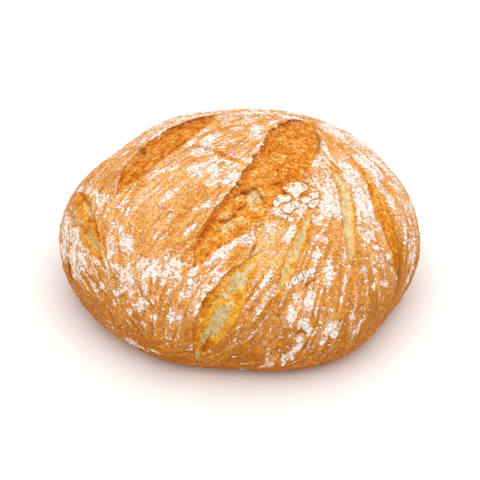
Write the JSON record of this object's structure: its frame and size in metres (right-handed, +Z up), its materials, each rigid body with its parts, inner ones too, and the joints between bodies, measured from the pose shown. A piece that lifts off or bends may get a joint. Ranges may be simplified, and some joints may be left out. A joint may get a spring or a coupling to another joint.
{
  "type": "italian bread loaf",
  "caption": "Whole round rustic loaf of italian bread: a low domed solid with raised lips along its slashed crust, standing on a flat foot.",
  "frame": {"origin": "on the flat foot, straight below the crown", "axes": "+Z up through the crown, +X along the longer side of the slightly oval outline, -Y towards the side with the pale front slashes"},
  "size_m": [0.2686, 0.2453, 0.1078],
  "materials": {
    "crust": "dry matte baked crust, golden brown, dusted with white flour, with pale crumb in the slashes"
  },
  "bodies": {
    "root": {"loaf": "crust"}
  },
  "joints": []
}
